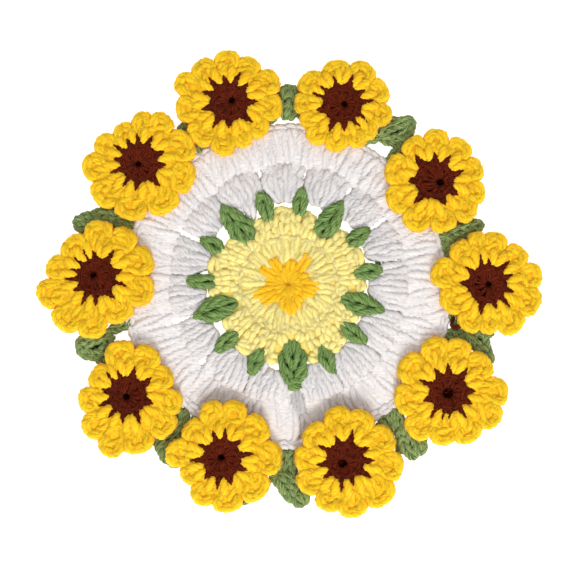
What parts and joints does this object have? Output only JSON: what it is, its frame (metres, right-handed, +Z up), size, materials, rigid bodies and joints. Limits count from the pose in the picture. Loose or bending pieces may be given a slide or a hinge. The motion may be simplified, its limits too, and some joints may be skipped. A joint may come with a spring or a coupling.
{
  "type": "crochet coaster",
  "caption": "Round crochet table mat in white, pale yellow and green yarn, edged with leaves and sunflowers sewn over its rim.",
  "frame": {"origin": "middle of the round mat, at its underside on the surface it lies on", "axes": "+Z up out of the face side; +Y towards the top of the mat as it is shown, +X to its right"},
  "size_m": [0.2001, 0.1855, 0.0088],
  "materials": {
    "golden_yarn": "soft matt cotton-blend yarn, golden yellow",
    "pale_yarn": "soft matt cotton-blend yarn, pale yellow",
    "green_yarn": "soft matt cotton-blend yarn, mid green",
    "white_yarn": "soft matt cotton-blend yarn, slightly pinkish white",
    "leaf_yarn": "soft matt cotton-blend yarn, leaf green",
    "sunflower_yarn": "soft matt cotton-blend yarn, sunflower yellow",
    "brown_yarn": "soft matt cotton-blend yarn, dark red-brown"
  },
  "bodies": {
    "root": {"golden_rosette": "golden_yarn", "pale_petal_round": "pale_yarn", "green_cluster_round": "green_yarn", "white_round": "white_yarn", "leaf_loop_1": "leaf_yarn", "leaf_loop_2": "leaf_yarn", "leaf_loop_3": "leaf_yarn", "leaf_loop_4": "leaf_yarn", "leaf_loop_5": "leaf_yarn", "leaf_loop_6": "leaf_yarn", "leaf_loop_7": "leaf_yarn", "leaf_loop_8": "leaf_yarn", "leaf_loop_9": "leaf_yarn", "leaf_loop_10": "leaf_yarn", "sunflower_1_petals": "sunflower_yarn", "sunflower_2_petals": "sunflower_yarn", "sunflower_3_petals": "sunflower_yarn", "sunflower_4_petals": "sunflower_yarn", "sunflower_5_petals": "sunflower_yarn", "sunflower_6_petals": "sunflower_yarn", "sunflower_7_petals": "sunflower_yarn", "sunflower_8_petals": "sunflower_yarn", "sunflower_9_petals": "sunflower_yarn", "sunflower_10_petals": "sunflower_yarn", "sunflower_1_eye": "brown_yarn", "sunflower_2_eye": "brown_yarn", "sunflower_3_eye": "brown_yarn", "sunflower_4_eye": "brown_yarn", "sunflower_5_eye": "brown_yarn", "sunflower_6_eye": "brown_yarn", "sunflower_7_eye": "brown_yarn", "sunflower_8_eye": "brown_yarn", "sunflower_9_eye": "brown_yarn", "sunflower_10_eye": "brown_yarn"}
  },
  "joints": []
}
